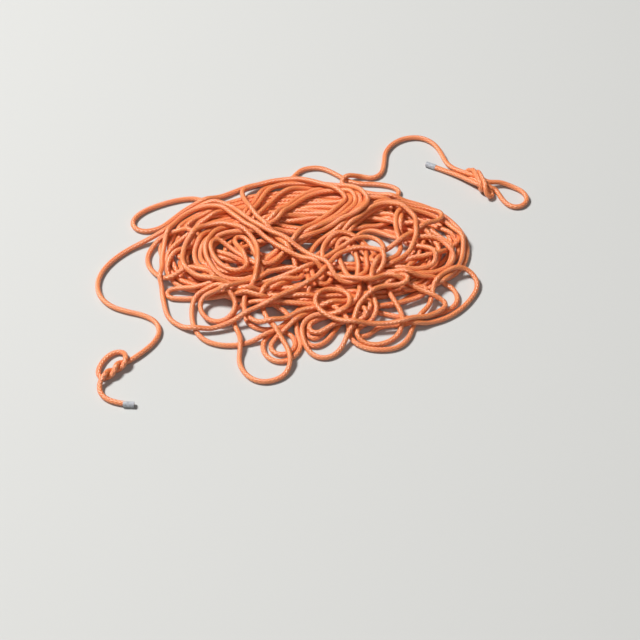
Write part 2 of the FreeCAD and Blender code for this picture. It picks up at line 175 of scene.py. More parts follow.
NESTED_FRONT_LOOPS = [
    (346.2, 319), (340.5, 323), (335.5, 329.5), (329.5, 338.5), (321.3, 345.8), (311.9, 347.4),
    (305.3, 343), (302.6, 335.5), (303.8, 327), (309.5, 320.5), (319, 316), (331, 311.5),
    (343, 306.5), (357, 301.5), (369, 303), (373, 309), (365, 314.5), (353, 318), (343, 320.5),
    (335, 324.5), (328, 330), (321.3, 335.5), (313, 339.6), (306.8, 337.3), (304.8, 330.5),
    (309, 323.5), (318, 318.5), (330, 314.5), (343, 310.5), (356, 307), (367, 309), (369.5, 315),
    (361, 318.7), (350, 319.3), (340, 320), (331.5, 323.3), (324, 329.3), (317.3, 332.3),
    (310.5, 331.5), (307.5, 326), (312, 320), (322, 315.5), (335, 311), (347, 306.5),
]
MIDDLE_OVALS = [
    (357, 299), (361, 286), (360, 272), (357, 258), (353, 245), (346, 238), (338, 242), (336, 254),
    (341, 266), (348, 277), (357, 283), (366, 279), (370, 268), (368, 255), (363, 243), (354, 236),
    (342, 233), (330, 238), (322, 248), (322, 260), (329, 270), (331, 281), (323, 287), (313, 281),
    (309, 268), (310, 254), (317, 243), (327, 236),
]
BACK_TURN_1 = [
    (340, 229), (352, 221), (362, 213.5), (367, 205.5), (363, 198.5), (352, 193.5), (338, 190),
    (320, 188), (302, 188.5), (287, 191), (276, 197.5), (268, 207), (259, 217), (247, 226),
    (233, 232), (218, 235), (206, 241), (200, 252), (203, 265), (214, 273.5), (230, 277),
    (247, 275.5), (263, 269), (278, 259), (291, 248), (303, 239),
]
BACK_TURN_2 = [
    (318, 231), (335, 225), (350, 217.5), (360, 209.5), (362, 201), (355, 194.5), (343, 190),
    (327, 186.5), (309, 184), (291, 182.5), (275, 183.5), (264, 189.5), (257, 199.5), (251, 211),
    (243, 221), (231, 226.5), (216, 229), (203, 234.5), (195, 245), (194, 258), (201, 269.5),
    (213, 277), (229, 281), (246, 281), (261, 276), (274, 266), (285, 254), (297, 243.5),
    (311, 234),
]
BACK_TURN_3 = [
    (326, 223.5), (341, 215), (351.5, 206.5), (354, 199), (347, 192.5), (333, 189), (315, 191),
    (301, 197), (289, 206), (279, 217), (268, 226), (254, 233), (240, 234.5), (227, 237),
    (216, 244), (212, 255), (216, 266), (227, 272), (242, 272.5), (256, 267), (268, 258),
    (281, 249), (295, 240),
]
BACK_TURN_4 = [
    (309.7, 232.5), (324.3, 225.5), (338, 219.5), (350, 212.5), (357.5, 205.5), (358.5, 199),
    (351, 193), (338, 190), (322, 190.8), (307, 194.8), (295, 203), (284, 213), (272, 223),
    (258, 230), (244, 232.5), (231, 233), (219, 236.5), (210.5, 245), (207.5, 256), (211, 267),
    (222, 273.5), (238, 275), (252, 270.5), (266, 261), (281, 249),
]
BACK_TURN_5 = [
    (296, 241), (309.7, 235.5), (324.3, 228.5), (339, 222), (352, 216), (363, 209), (367.5, 202),
    (362, 196.3), (350, 191.3), (335, 187), (318, 184), (301, 182.5), (285, 183.3), (272, 186.5),
    (264, 194), (258, 205), (250, 216), (240, 223.5), (228, 228), (217, 232), (209.6, 240.8),
    (206.8, 251), (208, 264), (217, 274), (231, 279.5), (246, 279),
]
LEFT_SPIRAL = [
    (258, 277.3), (265, 272), (259, 267), (248, 261.5), (237, 252.5), (226, 244), (217, 239.5),
    (211, 244), (212.5, 254), (220, 264), (231, 271), (242, 272.5), (249, 267), (246, 257.5),
    (239, 248), (233.5, 240.5), (238.5, 234.8), (247, 238.5), (254, 248), (258, 259), (264, 266.5),
    (275, 264.5), (286, 253),
]
OUTER_BACK_TURN = [
    (297, 239), (311, 229.5), (325, 219.5), (337, 210), (345.5, 202.5), (346.5, 196), (338, 189.5),
    (325, 185.5), (308, 181.5), (290, 180), (273, 181.3), (259, 184.3), (247.5, 186.3), (241, 191),
    (244.5, 200.5), (253.5, 213.5), (264, 225.5), (279.5, 239.5), (291, 252), (297, 266),
    (293, 279), (281, 287), (266, 291.5), (248, 293), (229, 291), (212, 290), (197, 289.3),
    (184, 286.8), (174, 281), (169, 272), (170.5, 262.5), (177, 254), (187, 249.5),
]
FAR_LEFT_LOOP = [
    (197, 246), (199, 238), (191, 231.5), (178, 232), (165, 236.5), (154, 245), (147.5, 255.5),
    (148.5, 265.5), (156, 273), (166, 277.5), (176, 276.5), (183, 271), (192, 267.5), (204, 270),
    (214, 275), (218, 282),
]
LEFT_BIGHT = [
    (210, 287.6), (197, 288.2), (186, 288), (177, 288.1), (170, 289.3), (166, 292.2),
    (166.5, 295.6), (171, 297.7), (179, 298.3), (199, 297), (213, 295.5), (229, 292),
]
LEFT_FRONT_LOOPS = [
    (246, 292), (262, 298), (275, 305), (287, 312), (291, 321), (281, 329), (268, 335.5),
    (254, 341), (240, 344.8), (224, 346), (208, 343), (197.5, 335), (193.3, 325), (192, 313),
    (193, 302), (198.5, 292.5), (207.5, 285.5), (218.5, 283.3), (229.5, 287), (236.8, 295.5),
    (237.5, 306), (232, 315.5), (222, 321), (211, 319.5), (203, 313), (200.5, 303), (206, 294.5),
    (218, 291),
]
NEAREST_LOOP = [
    (235, 288), (252, 282), (266, 272), (280, 268.7), (292, 268.5), (300.5, 270.8), (303.8, 275.2),
    (299.5, 279.4), (290, 281), (279, 281.6), (270, 284.5), (263.5, 290.5), (261.3, 299),
    (262.8, 308.5), (267.5, 317), (274.5, 326), (281, 336), (286.8, 346.5), (290, 357),
    (289.5, 366.5), (284.5, 374.5), (275.7, 379.8), (264, 382), (252.5, 379.5), (243.5, 372),
    (239, 362), (240.5, 350.5), (241.5, 341), (239, 332), (234.5, 324), (233, 313), (240, 304.5),
    (254, 300.5), (271, 300), (290, 302), (310, 304),
]
RIGHT_FRONT_LOOP = [
    (328, 302), (342, 312), (350, 323), (349, 333.5), (355, 342.5), (369, 348.8), (386, 350.2),
    (400.6, 346.8), (409.8, 337), (412.8, 325), (421, 314.3), (429.5, 304), (431.6, 292.5),
    (434.3, 281.8), (442.5, 273), (453.8, 268.3), (465, 268.8), (474, 275.4), (477.3, 285),
    (472.8, 296.5), (461.3, 309.3), (446, 318.3), (428, 323), (409, 324.3), (391, 325),
    (377, 327.5), (370.5, 334), (361, 337.3), (353.5, 332), (355.5, 322.5), (366, 315), (379, 305),
]
CROOKED_LOOP = [
    (392, 303), (403.7, 300.5), (413.4, 297.5), (422.5, 293.7), (426.8, 288.3), (422.5, 283.7),
    (415, 285.7), (408.5, 290.3), (403, 290.3), (400.5, 286), (398.8, 282.3), (394.5, 280.2),
    (390.3, 282.6), (388.6, 287.5), (389.3, 293.7), (393.5, 301.5), (400.1, 310.4), (403.1, 320.1),
    (401.3, 329.8), (394, 338.3), (383.2, 343.1), (372, 344.3), (361.5, 341), (356, 334.5),
    (359, 327.5), (368, 321.5), (374.5, 314.5), (375.3, 306), (372.5, 298), (368.8, 290),
    (366.8, 282), (370, 271), (378, 262),
]
LEFT_RING = [
    (384, 251), (379, 241), (367, 237), (352, 241), (338, 250), (324, 260), (308, 268), (290, 274),
    (272, 280), (254, 285.5), (238, 286.5), (226, 284), (212, 279.5), (198.5, 276), (188.5, 269.5),
    (184, 259.5), (185.5, 248), (191, 237), (199.5, 229), (210.5, 225), (224.5, 224.7),
    (239, 228.5), (250.5, 235), (257.5, 244.5), (259.2, 255), (257.4, 269), (252, 281.7),
    (246, 293), (244, 303), (245.6, 311.5), (251, 318), (260.5, 322.6), (273, 323), (286, 319.5),
    (297, 314),
]
SMALL_EYE = [
    (305, 310), (318, 307.5), (333, 305), (347, 301.5), (361, 295), (374, 287), (386, 279.5),
    (397, 273.7), (405.5, 276.7), (405, 282.5),
]
FRONT_CIRCLE = [
    (396, 285), (385, 285), (373, 288.3), (365.8, 293.7), (360.5, 301.5), (355, 311), (350.7, 323),
    (346.5, 337), (339.5, 350), (329.5, 356.8), (318, 357), (309, 351), (303.5, 342.5),
    (301.3, 333.5), (302.7, 324.5), (309, 317.8), (319, 314.2), (331, 314.3), (341.5, 312.3),
    (348.5, 306.5), (350.8, 299), (345.5, 292.3), (334.5, 288.9), (324, 289.8), (316.3, 295),
    (314.5, 302.3), (319, 309.5), (328, 315), (340, 319.7), (355, 321.7), (372, 322.8),
    (390, 322.8), (409, 320.5), (426, 316.5), (438, 311), (445, 305.8), (444.5, 301.3),
    (437, 297.7), (427, 292.3), (416, 287), (405, 279.8), (396, 275), (384, 273.6), (371, 276.8),
    (357, 280),
]
TOP_TURNS = [
    (344, 280), (333, 276.5), (322, 270.5), (312, 264.3), (300, 257.3), (281.2, 248.3),
    (270.7, 240.9), (260.2, 234), (249.6, 227.8), (242.6, 222.8), (233.5, 215.2), (225, 210.2),
    (214.6, 207), (201, 207.6), (186.6, 213.2), (173.8, 224.5), (167.7, 236.3), (165, 251),
    (165, 269.3), (164.2, 291.6), (166, 309.5), (169.8, 318.8), (179.5, 325.5), (190, 329.2),
    (204, 329), (214.6, 327.5), (225, 323.8), (239, 317.5), (249.6, 311.3), (260.2, 305.3),
    (274.2, 298.4), (288.2, 291.7), (300, 287), (314, 280.3), (323.5, 271.5), (331, 261.8),
    (341, 253.2), (355, 248.4), (370, 248.6), (380.5, 254), (383.3, 263), (377.5, 271.2),
    (366, 276), (353, 278.3), (341.5, 278), (332.5, 273.8), (324, 266.8), (314, 259), (300, 249),
    (288.2, 242), (277.7, 235.7), (267.2, 229.8), (256.7, 224.4), (246, 218), (239, 212.4),
    (232, 207.3), (224, 204.4), (212, 203.3), (200.5, 204.3), (188, 211.5), (176.5, 220.3),
    (165.7, 229.3),
]

# The outlying loops were laid first, then turns that don't show, and then these in turn
SHOWN_TURNS = [
    RIGHT_TURN_1, RIGHT_TURN_2, NARROW_FRONT_LOOP, RIGHT_TURN_3, SLANTING_TURN, DOUBLE_FRONT_LOOP,
    NESTED_FRONT_LOOPS, MIDDLE_OVALS, BACK_TURN_1, BACK_TURN_2, BACK_TURN_3, BACK_TURN_4,
    BACK_TURN_5, LEFT_SPIRAL, OUTER_BACK_TURN, FAR_LEFT_LOOP, LEFT_BIGHT, LEFT_FRONT_LOOPS,
    NEAREST_LOOP, RIGHT_FRONT_LOOP, CROOKED_LOOP, LEFT_RING, SMALL_EYE, FRONT_CIRCLE, TOP_TURNS,
]


def around(centre, axis, side, along, degrees, radius):
    """Point at a distance along an axis and at an angle about it, 90 degrees upwards."""
    angle = math.radians(degrees)
    return centre + axis * along + (side * math.cos(angle) + UP * math.sin(angle)) * radius


def left_end():
    """Lead, overhand knot and tail. The knot is two passes of the rope opposite each other,
    which wind about one axis through a full turn."""
    axis = LEFT_KNOT_TO - LEFT_KNOT_FROM
    length = np.linalg.norm(axis)
    axis /= length
    side = -np.cross(UP, axis)
    passes = [[around(LEFT_KNOT_FROM, axis, side, length / LEFT_KNOT_STEPS * k,
                      first + 360 / LEFT_KNOT_STEPS * k, LEFT_KNOT_RADIUS)
               for k in range(LEFT_KNOT_STEPS + 1)] for first in (270, 90)]
    return LEFT_LEAD + passes[0] + LEFT_KNOT_LOOP + passes[1] + LEFT_TAIL


def in_right_knot(*places):
    """Places in the right knot, given in millimetres along it, across it and up."""
    return [RIGHT_KNOT_CENTRE
            + (RIGHT_KNOT_ALONG * along + RIGHT_KNOT_ACROSS * across + UP * up) * MM
            for along, across, up in places]


def right_end():
    """Lead, knot and tail: slanting wraps about three passes of the rope that lie side by
    side, and a small lobe where the tail turns back into the knot."""
    standing = in_right_knot((-22, 9, 1), (-8, 10.5, 0), (10, 10.5, 0), (22, 10, -2))
    back = in_right_knot((24, -3, -3), (8, 0, 0), (-5, 0, 0), (-15, 1, -4), (-23, 9, -9),
                         (-23, 21, -10), (-17, 28, -6))
    wraps = in_right_knot(*[(WRAP_START + WRAP_STEP * k, *WRAP_TURN[k % len(WRAP_TURN)])
                            for k in range(WRAP_POINTS)])
    lobe = in_right_knot((1.5, -26, 3), (6.5, -30, -5), (17.5, -23, -9), (22.5, -12.5, -9))
    tucked = in_right_knot((12, -10.5, -2), (-8, -10, 0), (-20, -7, -3))
    return RIGHT_LEAD + standing + RIGHT_LOOP + back + wraps + lobe + tucked + RIGHT_TAIL


def spline_points(points, detail):
    """Points along the NURBS spline of order 3 that has these control points, as many for
    each of them as detail says."""
    data = bpy.data.curves.new("route", "CURVE")
    data.dimensions = "3D"
    data.resolution_u = detail
    spline = data.splines.new("NURBS")
    spline.points.add(len(points) - 1)
    homogeneous = np.ones((len(points), 4))
    homogeneous[:, :3] = points
    spline.points.foreach_set("co", homogeneous.ravel())
    spline.order_u = 3
    spline.use_endpoint_u = True
    holder = bpy.data.objects.new("route", data)
    mesh = bpy.data.meshes.new_from_object(holder)
    line = np.zeros(len(mesh.vertices) * 3)
    mesh.vertices.foreach_get("co", line)
    bpy.data.objects.remove(holder)
    bpy.data.curves.remove(data)
    bpy.data.meshes.remove(mesh)
    return line.reshape(-1, 3)


def measured(line):
    """Distance of each point along its line."""
    return np.append(0, np.cumsum(np.linalg.norm(np.diff(line, axis=0), axis=1)))


# The pile, worked out in millimetres. REST_HEIGHT and HIGHEST are the least and greatest
# height of the rope's centre, and TIGHTEST is the smallest radius that it was laid in
ROPE = ROPE_DIAMETER / MM
PARTICLE_STEP = 8.0
REST_HEIGHT = 4.9
HIGHEST = 52.3
TIGHTEST = 15.0
EASING_ROUNDS = 60
PLAN_DETAIL = 12

# Seen against the floor, a point appears this much further back for each unit of height
SIGHT = 1 / math.tan(CAMERA_TILT)

# The turns underneath: the heap's middle and half size, where the first turn starts, and
# the ranges that each turn's size, wandering and proportion are drawn from
HEAP_CENTRE = np.array((-26.3, 49.2))
HEAP_HALF = np.array((296.0, 146.0))
HEAP_START = math.radians(255)
HEAP_TURNS = 16.5
HEAP_SEED = 12
POINTS_PER_TURN = 14
SQUARED_SIZES = (0.1, 1.0)
WANDERINGS = (0.6, 1.05)
PROPORTIONS = (0.75, 1.3)
LEAST_SIZE = 0.3

# How the rope was laid: LAID_AT_ONCE particles at a time, none of them on the OWN_LENGTH
# last ones, while the STILL_SOFT last ones give way. HOOK is the number of particles in the
# right lead's hook, and HOOK_FOOT how many of them stay as laid
LAID_AT_ONCE = 6
OWN_LENGTH = 3
STILL_SOFT = 30
LAYING_ROUNDS = 3
HOOK = 24
HOOK_FOOT = 4
HOOK_ROUNDS = 8

# How it settles. HOLD is the share of the way back to its place that a particle is drawn
# each round, SINK how far its weight moves it in the first round and SINK_LESS how much
# less in the last. Rope higher than STACK slumps by the share SLUMP of what is above it
HOLD_SHOWN = 0.08
HOLD_UNDER = 0.015
SINK = 0.7
SINK_LESS = 0.3
STACK = 38.0
SLUMP = 0.1
ROUNDS = 400
PUSHES = 3
PAIRS_LAST_FOR = 4
LAST_ROUNDS = 20
LAST_PAIRS_LAST_FOR = 5
LAST_STIFFNESS = 0.2

# Bending, as pairs: a particle is compared with those so many places before and after it,
# and moved by this share of what it is off
BENDING = ((9, 0.03), (4, 0.12), (1, 0.5))

# Contacts. Pairs of pieces with their middles this near are kept IN_SIGHT, and those nearer
# than TOUCHING are measured. The upper one takes up to UPPER_SHARE more of the push. CROWDING
# softens the push on a particle that several others touch, and LONGEST_PUSH bounds it
IN_SIGHT = 21.0
TOUCHING = 18.0
UPPER_SHARE = 0.3
CROWDING = 0.7
LONGEST_PUSH = 2.0


def on_floor(places):
    """Where the lines of sight through these places in the photo meet the floor, in whole
    millimetres. A line of sight runs forwards from the camera, and across and down by the
    place's distance from the photo's middle over the camera's distance, both in pixels."""
    forwards, upwards = math.cos(CAMERA_TILT), math.sin(CAMERA_TILT)
    distance = CAMERA_DISTANCE / MM
    across, down = (np.array(places, float).T - PHOTO_MIDDLE) / (distance / PIXEL)
    sight = np.stack([across, forwards - down * upwards, -upwards - down * forwards], 1)
    x, y, z = np.array(CAMERA_LOOKS_AT) / MM
    camera = np.array([x, y - distance * forwards, z + distance * upwards])
    return np.round((camera - camera[2] / sight[:, 2:] * sight)[:, :2])


def hidden_turns():
    """The turns underneath: ovals of many sizes whose centres wander about the heap, each
    point at half size times cosine and sine of its heading. Size, centre and proportion are
    drawn for each turn and change smoothly from one to the next."""
    random = np.random.default_rng(HEAP_SEED)
    count = math.ceil(HEAP_TURNS) + 2
    size = np.sqrt(random.uniform(*SQUARED_SIZES, count))
    angle = random.uniform(0, 2 * np.pi, count)
    away = (1 - size) * random.uniform(*WANDERINGS, count)
    slim = random.uniform(*PROPORTIONS, count)
    turn = np.arange(int(HEAP_TURNS * POINTS_PER_TURN) + 1) / POINTS_PER_TURN
    first = turn.astype(int)
    share = turn - first
    share = share * share * (3 - 2 * share)

    def drawn(values):
        """The drawn values at each point, eased from one turn's to the next one's."""
        return values[first] * (1 - share) + values[first + 1] * share

    size_now, slim_now = drawn(size), drawn(slim)
    east = drawn(away * HEAP_HALF[0] * np.cos(angle))
    north = drawn(away * HEAP_HALF[1] * np.sin(angle))
    heading = HEAP_START - 2 * np.pi * turn
    longest = 1 / np.maximum(size_now, LEAST_SIZE)
    along = HEAP_HALF[0] * size_now * np.minimum(slim_now, longest)
    across = HEAP_HALF[1] * size_now / np.sqrt(slim_now)
    return np.column_stack([HEAP_CENTRE[0] + east + along * np.cos(heading),
                            HEAP_CENTRE[1] + north + across * np.sin(heading)])


def heap_plan():
    """Where each particle of the rope was laid, seen against the floor, and how firmly it
    keeps that place. The rope is stiff, so particles in too tight a bend give way."""
    laid = [on_floor(OUTLYING_LOOPS), hidden_turns()] + [on_floor(turn) for turn in SHOWN_TURNS]
    hold = [HOLD_SHOWN, HOLD_UNDER] + [HOLD_SHOWN] * len(SHOWN_TURNS)
    firm = np.concatenate([np.full(len(turn), h) for turn, h in zip(laid, hold)])
    line = spline_points(np.column_stack([np.vstack(laid) * MM, firm]), PLAN_DETAIL)
    along = measured(line[:, :2]) / MM
    places = np.linspace(0, along[-1], round(along[-1] / PARTICLE_STEP) + 1)
    plan = np.stack([np.interp(places, along, line[:, k]) for k in range(3)], 1)
    plan[:, :2] /= MM
    for _ in range(EASING_ROUNDS):
        bend = plan[:-2, :2] - 2 * plan[1:-1, :2] + plan[2:, :2]
        curl = np.linalg.norm(bend, axis=1)[:, None] * TIGHTEST / PARTICLE_STEP ** 2
        plan[1:-1, :2] += bend * np.clip(curl - 1, 0, 1) / 4
    return plan[:, :2], plan[:, 2]


def height_on(below, height, plan):
    """Least height of particles at these places on top of others: a rope's diameter away
    from each of them, or resting on the floor."""
    square = ((plan[:, None] - below[None]) ** 2).sum(-1)
    on_top = height + np.sqrt(np.maximum(ROPE ** 2 - square, 0))
    return np.where(square < ROPE ** 2, on_top, REST_HEIGHT).max(1)


def smoothed(height):
    """Each height as the mean of itself, counted twice, and its two neighbours."""
    smooth = height.copy()
    smooth[1:-1] = (height[:-2] + 2 * height[1:-1] + height[2:]) / 4
    return smooth


def laid_height(plan):
    """Height of each particle when the rope is laid down from its first to its last: on top
    of whatever already lies there, and bridging the gaps between. The hook that the right
    lead makes was moved later, and lies over the arch beside it."""
    height = np.full(len(plan), REST_HEIGHT)
    least = height.copy()
    for start in range(0, len(plan), LAID_AT_ONCE):
        stop = min(start + LAID_AT_ONCE, len(plan))
        before = max(start - OWN_LENGTH, 0)
        if before:
            least[start:stop] = height_on(plan[:before], height[:before], plan[start:stop])
        height[start:stop] = least[start:stop]
        recent = slice(max(0, start - STILL_SOFT), stop)
        for _ in range(LAYING_ROUNDS):
            height[recent] = np.maximum(least[recent], smoothed(height[recent]))
    away = 2 * HOOK
    least = height_on(plan[away:], height[away:], plan[:HOOK])[:-HOOK_FOOT]
    hook = np.append(least, height[HOOK - HOOK_FOOT:HOOK])
    for _ in range(HOOK_ROUNDS):
        hook = np.maximum(np.append(least, np.zeros(HOOK_FOOT)), smoothed(hook))
    height[:HOOK] = hook
    return height


def neighbours(place, reach):
    """Pairs of rope pieces nearer than reach, found through square cells of that size. A
    piece's next two along the rope don't count."""
    cell = np.floor(place[:, :2] / reach).astype(int)
    cell -= cell.min(0)
    width = cell[:, 1].max() + 3
    key = cell[:, 0] * width + cell[:, 1]
    order = np.argsort(key, kind="stable")
    key = key[order]
    ones, others = [], []
    for step in (0, 1, width - 1, width, width + 1):
        low = np.searchsorted(key, key + step, "left") if step else np.arange(len(key)) + 1
        high = np.searchsorted(key, key + step, "right")
        count = np.maximum(high - low, 0)
        ones.append(np.repeat(np.arange(len(key)), count))
        offset = np.arange(count.sum()) - np.repeat(np.cumsum(count) - count, count)
        others.append(offset + np.repeat(low, count))
    one, other = order[np.concatenate(ones)], order[np.concatenate(others)]
    one, other = np.minimum(one, other), np.maximum(one, other)
    apart = place[one] - place[other]
    near = (other - one > 2) & (np.einsum("ij,ij->i", apart, apart) < reach ** 2)
    return one[near], other[near]


def dot(one, other):
    """Scalar product of each pair of vectors."""
    return np.einsum("ij,ij->i", one, other)


def push_apart(rope, one, other):
    """Moves pieces that press into each other apart, along the shortest line between them,
    the upper one further than the lower one. Shares s and t say where along each piece that
    line starts."""
    between = (rope[one] + rope[one + 1] - rope[other] - rope[other + 1]) / 2
    near = dot(between, between) < TOUCHING ** 2
    one, other = one[near], other[near]
    u, v = rope[one + 1] - rope[one], rope[other + 1] - rope[other]
    w = rope[one] - rope[other]
    uu, uv, vv, uw, vw = dot(u, u), dot(u, v), dot(v, v), dot(u, w), dot(v, w)
    s = np.clip((uv * vw - vv * uw) / np.maximum(uu * vv - uv * uv, 1e-6), 0, 1)
    t = np.clip((uv * s + vw) / vv, 0, 1)
    s = np.clip((uv * t - uw) / uu, 0, 1)
    gap = w + s[:, None] * u - t[:, None] * v
    distance = np.sqrt(dot(gap, gap))
    deep = distance < ROPE
    one, other, s, t = one[deep], other[deep], s[deep], t[deep]
    way = gap[deep] / np.maximum(distance[deep], 1e-6)[:, None]
    depth = ROPE - distance[deep]
    share = 0.5 + UPPER_SHARE * way[:, 2]
    first = depth * share / ((1 - s) ** 2 + s ** 2)
    second = depth * (1 - share) / ((1 - t) ** 2 + t ** 2)
    index = np.concatenate([one, one + 1, other, other + 1])
    amount = np.concatenate([(1 - s) * first, s * first, (t - 1) * second, -t * second])
    ways = np.concatenate([way] * 4)
    moves = np.stack([np.bincount(index, amount * ways[:, k], len(rope)) for k in range(3)], 1)
    touched = np.bincount(index, np.concatenate([1 - s, s, 1 - t, t]), len(rope))
    moves /= np.maximum(touched * CROWDING, 1)[:, None]
    size = np.linalg.norm(moves, axis=1)[:, None]
    rope += moves * np.minimum(1, LONGEST_PUSH / np.maximum(size, 1e-9))


def unbend(rope, reach, stiffness, bend):
    """Draws each particle towards the bend it had when laid, between the two that lie
    reach places before and after it."""
    change = rope[:-2 * reach] - 2 * rope[reach:-reach] + rope[2 * reach:] - bend
    rope[reach:-reach] += change * stiffness / 2
    rope[:-2 * reach] -= change * stiffness / 4
    rope[2 * reach:] -= change * stiffness / 4


def keep_length(rope, length):
    """Brings every other step between particles back to its length, then the ones between
    them, and both once more."""
    for odd in (0, 1, 0, 1):
        wanted = length[odd::2]
        one, other = rope[odd:-1:2][:len(wanted)], rope[odd + 1::2][:len(wanted)]
        run = other - one
        long = np.linalg.norm(run, axis=1)
        change = ((long - wanted) / long / 2)[:, None] * run
        one += change
        other -= change


def settled_heap():
    """The rope as particles a fixed distance apart, each round drawn down a little by its
    weight, kept from kinking, kept at its length and pushed off what it touches. The last
    rounds only push and unbend."""
    plan, firm = heap_plan()
    height = laid_height(plan)
    rope = np.column_stack([plan[:, 0], plan[:, 1] - SIGHT * height, height])
    ends = np.array([PILE_START, PILE_END]) / MM
    bends = []
    for reach, stiffness in BENDING:
        bend = np.zeros((len(plan) - 2 * reach, 3))
        bend[:, :2] = plan[:-2 * reach] - 2 * plan[reach:-reach] + plan[2 * reach:]
        bends.append((reach, stiffness, bend))
    length = np.linalg.norm(np.diff(plan, axis=0), axis=1)
    rounds = ROUNDS
    for now in range(rounds):
        rope[:, 2] -= SINK - SINK_LESS * now / rounds + np.maximum(rope[:, 2] - STACK, 0) * SLUMP
        rope[:, 0] += firm * (plan[:, 0] - rope[:, 0])
        rope[:, 1] += firm * (plan[:, 1] - SIGHT * rope[:, 2] - rope[:, 1])
        for bend in bends:
            unbend(rope, *bend)
        keep_length(rope, length)
        if now % PAIRS_LAST_FOR == 0:
            pairs = neighbours((rope[1:] + rope[:-1]) / 2, IN_SIGHT)
        for _ in range(PUSHES):
            rope[[0, -1]] = ends
            push_apart(rope, *pairs)
            rope[:, 2] = np.clip(rope[:, 2], REST_HEIGHT, HIGHEST)
    reach, _, bend = bends[-1]
    for now in range(LAST_ROUNDS):
        if now % LAST_PAIRS_LAST_FOR == 0:
            pairs = neighbours((rope[1:] + rope[:-1]) / 2, IN_SIGHT)
        push_apart(rope, *pairs)
        unbend(rope, reach, LAST_STIFFNESS, bend)
        rope[[0, -1]] = ends
        rope[:, 2] = np.clip(rope[:, 2], REST_HEIGHT, HIGHEST)
    return rope * MM


def frames(line):
    """Tangent and two normals of each point, carried along without twist: each normal is
    the one before it, turned square to the tangent."""
    tangent = np.gradient(line, axis=0)
    tangent /= np.linalg.norm(tangent, axis=1)[:, None]
    normal = np.zeros_like(tangent)
    now = np.cross(tangent[0], UP)
    for k, t in enumerate(tangent):
        now = now - t * (now @ t)
        now /= math.sqrt(now @ now)
        normal[k] = now
    return tangent, normal, np.cross(tangent, normal)


# A round rope, with rings closer together where it bends. RINGS_FOR_BEND is the share of
# rings that each unit of curvature (1/m) adds, up to SHARPEST_BEND
ROUND_SIDES = 14
MOST_RINGS = 7000
RINGS_FOR_BEND = 0.018
SHARPEST_BEND = 120


def tube(name, line, radius):
    """A round tube along a line: rings of points at radius times cosine and sine about it,
    closer together where the line bends, and a point to close each end. Its UV map runs
    round the rope from 0 to 1, and along it in rope circumferences."""
    along = measured(line)
    tangent = np.gradient(line, along, axis=0)
    bend = np.linalg.norm(np.gradient(tangent, along, axis=0), axis=1)
    need = 1 + RINGS_FOR_BEND * np.minimum(bend, SHARPEST_BEND)
    sum_of_need = np.append(0, np.cumsum((need[1:] + need[:-1]) / 2 * np.diff(along)))
    places = np.interp(np.linspace(0, sum_of_need[-1], MOST_RINGS), sum_of_need, along)
    centre = np.stack([np.interp(places, along, line[:, k]) for k in range(3)], 1)
    tangent, normal, side = frames(centre)
    angle = np.arange(ROUND_SIDES) / ROUND_SIDES * 2 * np.pi
    ring = np.cos(angle)[None, :, None] * normal[:, None] \
        + np.sin(angle)[None, :, None] * side[:, None]
    points = (centre[:, None] + radius * ring).reshape(-1, 3)
    points = np.vstack([points, centre[:1], centre[-1:]])
    rings = len(centre)
    corner = np.arange(ROUND_SIDES)
    following = (corner + 1) % ROUND_SIDES
    ring_start = np.arange(rings - 1)[:, None] * ROUND_SIDES
    low, high = ring_start + corner, ring_start + following
    quads = np.stack([low, high, high + ROUND_SIDES, low + ROUND_SIDES], -1).reshape(-1, 4)
    last_ring = (rings - 1) * ROUND_SIDES
    start_point = np.full(ROUND_SIDES, rings * ROUND_SIDES)
    start = np.stack([start_point, following, corner], -1)
    stop = np.stack([start_point + 1, last_ring + corner, last_ring + following], -1)
    mesh = bpy.data.meshes.new(name)
    mesh.from_pydata(points.tolist(), [], quads.tolist() + start.tolist() + stop.tolist())
    u = np.append(corner, ROUND_SIDES) / ROUND_SIDES
    v = places / (2 * math.pi * radius)
    left, right, here, further = u[None, :-1], u[None, 1:], v[:-1, None], v[1:, None]
    corners = [(left, here), (right, here), (right, further), (left, further)]
    sides = np.stack([np.stack(np.broadcast_arrays(*pair), -1) for pair in corners], 2)
    cap = np.zeros((3 * ROUND_SIDES, 2))
    uv = np.vstack([sides.reshape(-1, 2), cap, cap + (0, v[-1])])
    layer = mesh.uv_layers.new(name="around_and_along")
    layer.data.foreach_set("uv", uv.astype(np.float32).ravel())
    mesh.polygons.foreach_set("use_smooth", [True] * len(mesh.polygons))
    mesh.update()
    piece = bpy.data.objects.new(name, mesh)
    bpy.context.scene.collection.objects.link(piece)
    return piece


def linear(colour):
    """An sRGB hex colour as the linear colour that a shader takes."""
    parts = [int(colour[k:k + 2], 16) / 255 for k in (1, 3, 5)]
    return tuple(c / 12.92 if c <= 0.04045 else ((c + 0.055) / 1.055) ** 2.4
                 for c in parts) + (1.0,)


def give(node, inputs):
    """Gives a node its inputs. Each is a value, the output that it is linked to, or the
    node whose first output it takes."""
    for key, value in inputs.items():
        if isinstance(value, bpy.types.Node):
            value = value.outputs[0]
        if isinstance(value, bpy.types.NodeSocket):
            node.id_data.links.new(value, node.inputs[key])
        else:
            node.inputs[key].default_value = value


def add(material, kind, inputs, tones=(), **settings):
    """Adds a node with its settings and inputs. Tones are pairs of a place on its ramp and
    the hex colour there."""
    node = material.node_tree.nodes.new(kind)
    for key, value in settings.items():
        setattr(node, key, value)
    for k, (place, colour) in enumerate(tones):
        node.color_ramp.elements[k].position = place
        node.color_ramp.elements[k].color = linear(colour)
    give(node, inputs)
    return node


def new_material(name):
    """A new material and its surface shader."""
    material = bpy.data.materials.new(name)
    material.use_nodes = True
    return material, material.node_tree.nodes["Principled BSDF"]
